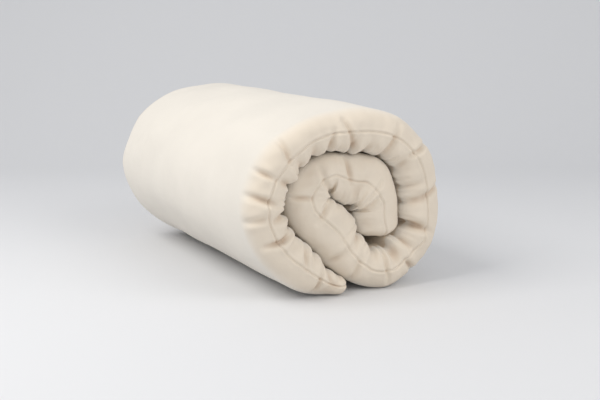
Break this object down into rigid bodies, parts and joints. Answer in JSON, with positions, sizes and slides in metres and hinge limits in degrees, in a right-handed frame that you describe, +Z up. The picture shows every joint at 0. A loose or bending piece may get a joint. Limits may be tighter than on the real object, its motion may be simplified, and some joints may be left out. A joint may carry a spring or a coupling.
{
  "type": "futon mattress",
  "caption": "Natural cotton futon mattress rolled up for storage, which unrolls along the floor.",
  "frame": {"origin": "centre of the roll's bounding box on the floor", "axes": "+Z up, Y along the roll with the spiral end that the camera sees at -Y, +X towards the side where the outer turn comes down to the floor"},
  "size_m": [0.5722, 0.902, 0.4673],
  "materials": {
    "cotton_cover": "matte natural cotton weave",
    "side_seam": "matte stitched cotton seam",
    "cotton_batting": "matte cotton fibre"
  },
  "bodies": {
    "free_end": {"under_panel_free_end": "cotton_cover", "top_panel_free_end": "cotton_cover", "batting_free_end": "cotton_batting", "front_seam_free_end": "side_seam", "back_seam_free_end": "side_seam", "free_end_closing_seam": "side_seam"},
    "turn_1": {"under_panel_turn_1": "cotton_cover", "top_panel_turn_1": "cotton_cover", "batting_turn_1": "cotton_batting", "front_seam_turn_1": "side_seam", "back_seam_turn_1": "side_seam"},
    "turn_2": {"under_panel_turn_2": "cotton_cover", "top_panel_turn_2": "cotton_cover", "batting_turn_2": "cotton_batting", "front_seam_turn_2": "side_seam", "back_seam_turn_2": "side_seam"},
    "turn_3": {"under_panel_turn_3": "cotton_cover", "top_panel_turn_3": "cotton_cover", "batting_turn_3": "cotton_batting", "front_seam_turn_3": "side_seam", "back_seam_turn_3": "side_seam"},
    "turn_4": {"under_panel_turn_4": "cotton_cover", "top_panel_turn_4": "cotton_cover", "batting_turn_4": "cotton_batting", "front_seam_turn_4": "side_seam", "back_seam_turn_4": "side_seam"},
    "turn_5": {"under_panel_turn_5": "cotton_cover", "top_panel_turn_5": "cotton_cover", "batting_turn_5": "cotton_batting", "front_seam_turn_5": "side_seam", "back_seam_turn_5": "side_seam"},
    "turn_6": {"under_panel_turn_6": "cotton_cover", "top_panel_turn_6": "cotton_cover", "batting_turn_6": "cotton_batting", "front_seam_turn_6": "side_seam", "back_seam_turn_6": "side_seam"},
    "turn_7": {"under_panel_turn_7": "cotton_cover", "top_panel_turn_7": "cotton_cover", "batting_turn_7": "cotton_batting", "front_seam_turn_7": "side_seam", "back_seam_turn_7": "side_seam"},
    "turn_8": {"under_panel_turn_8": "cotton_cover", "top_panel_turn_8": "cotton_cover", "batting_turn_8": "cotton_batting", "front_seam_turn_8": "side_seam", "back_seam_turn_8": "side_seam"},
    "core": {"under_panel_core": "cotton_cover", "top_panel_core": "cotton_cover", "batting_core": "cotton_batting", "front_seam_core": "side_seam", "back_seam_core": "side_seam", "core_closing_seam": "side_seam"}
  },
  "joints": [
    {"name": "unroll_1", "type": "hinge", "parent": "free_end", "child": "turn_1", "pos_m": [-0.11632, 0, 0.01674], "axis": [0, -1, 0], "range_deg": [0, 41.49]},
    {"name": "unroll_2", "type": "hinge", "parent": "turn_1", "child": "turn_2", "pos_m": [-0.26939, 0, 0.16116], "axis": [0, -1, 0], "range_deg": [0, 53.24]},
    {"name": "unroll_3", "type": "hinge", "parent": "turn_2", "child": "turn_3", "pos_m": [-0.27712, 0, 0.29385], "axis": [0, -1, 0], "range_deg": [0, 25.51]},
    {"name": "unroll_4", "type": "hinge", "parent": "turn_3", "child": "turn_4", "pos_m": [-0.16938, 0, 0.42226], "axis": [0, -1, 0], "range_deg": [0, 56.1]},
    {"name": "unroll_5", "type": "hinge", "parent": "turn_4", "child": "turn_5", "pos_m": [0.11284, 0, 0.45524], "axis": [0, -1, 0], "range_deg": [0, 42.27]},
    {"name": "unroll_6", "type": "hinge", "parent": "turn_5", "child": "turn_6", "pos_m": [0.24374, 0, 0.35779], "axis": [0, -1, 0], "range_deg": [0, 37.06]},
    {"name": "unroll_7", "type": "hinge", "parent": "turn_6", "child": "turn_7", "pos_m": [0.28028, 0, 0.15054], "axis": [0, -1, 0], "range_deg": [0, 57.95]},
    {"name": "unroll_8", "type": "hinge", "parent": "turn_7", "child": "turn_8", "pos_m": [0.17077, 0, 0.01466], "axis": [0, -1, 0], "range_deg": [0, 46.32]},
    {"name": "unroll_9", "type": "hinge", "parent": "turn_8", "child": "core", "pos_m": [0.00802, 0, 0.02809], "axis": [0, -1, 0], "range_deg": [0, 58.24]}
  ],
  "couplings": [
    {"joint": "unroll_2", "follows": "unroll_1", "ratio": 1.2832},
    {"joint": "unroll_3", "follows": "unroll_1", "ratio": 0.6148},
    {"joint": "unroll_4", "follows": "unroll_1", "ratio": 1.3519},
    {"joint": "unroll_5", "follows": "unroll_1", "ratio": 1.0186},
    {"joint": "unroll_6", "follows": "unroll_1", "ratio": 0.893},
    {"joint": "unroll_7", "follows": "unroll_1", "ratio": 1.3965},
    {"joint": "unroll_8", "follows": "unroll_1", "ratio": 1.1162},
    {"joint": "unroll_9", "follows": "unroll_1", "ratio": 1.4037}
  ]
}
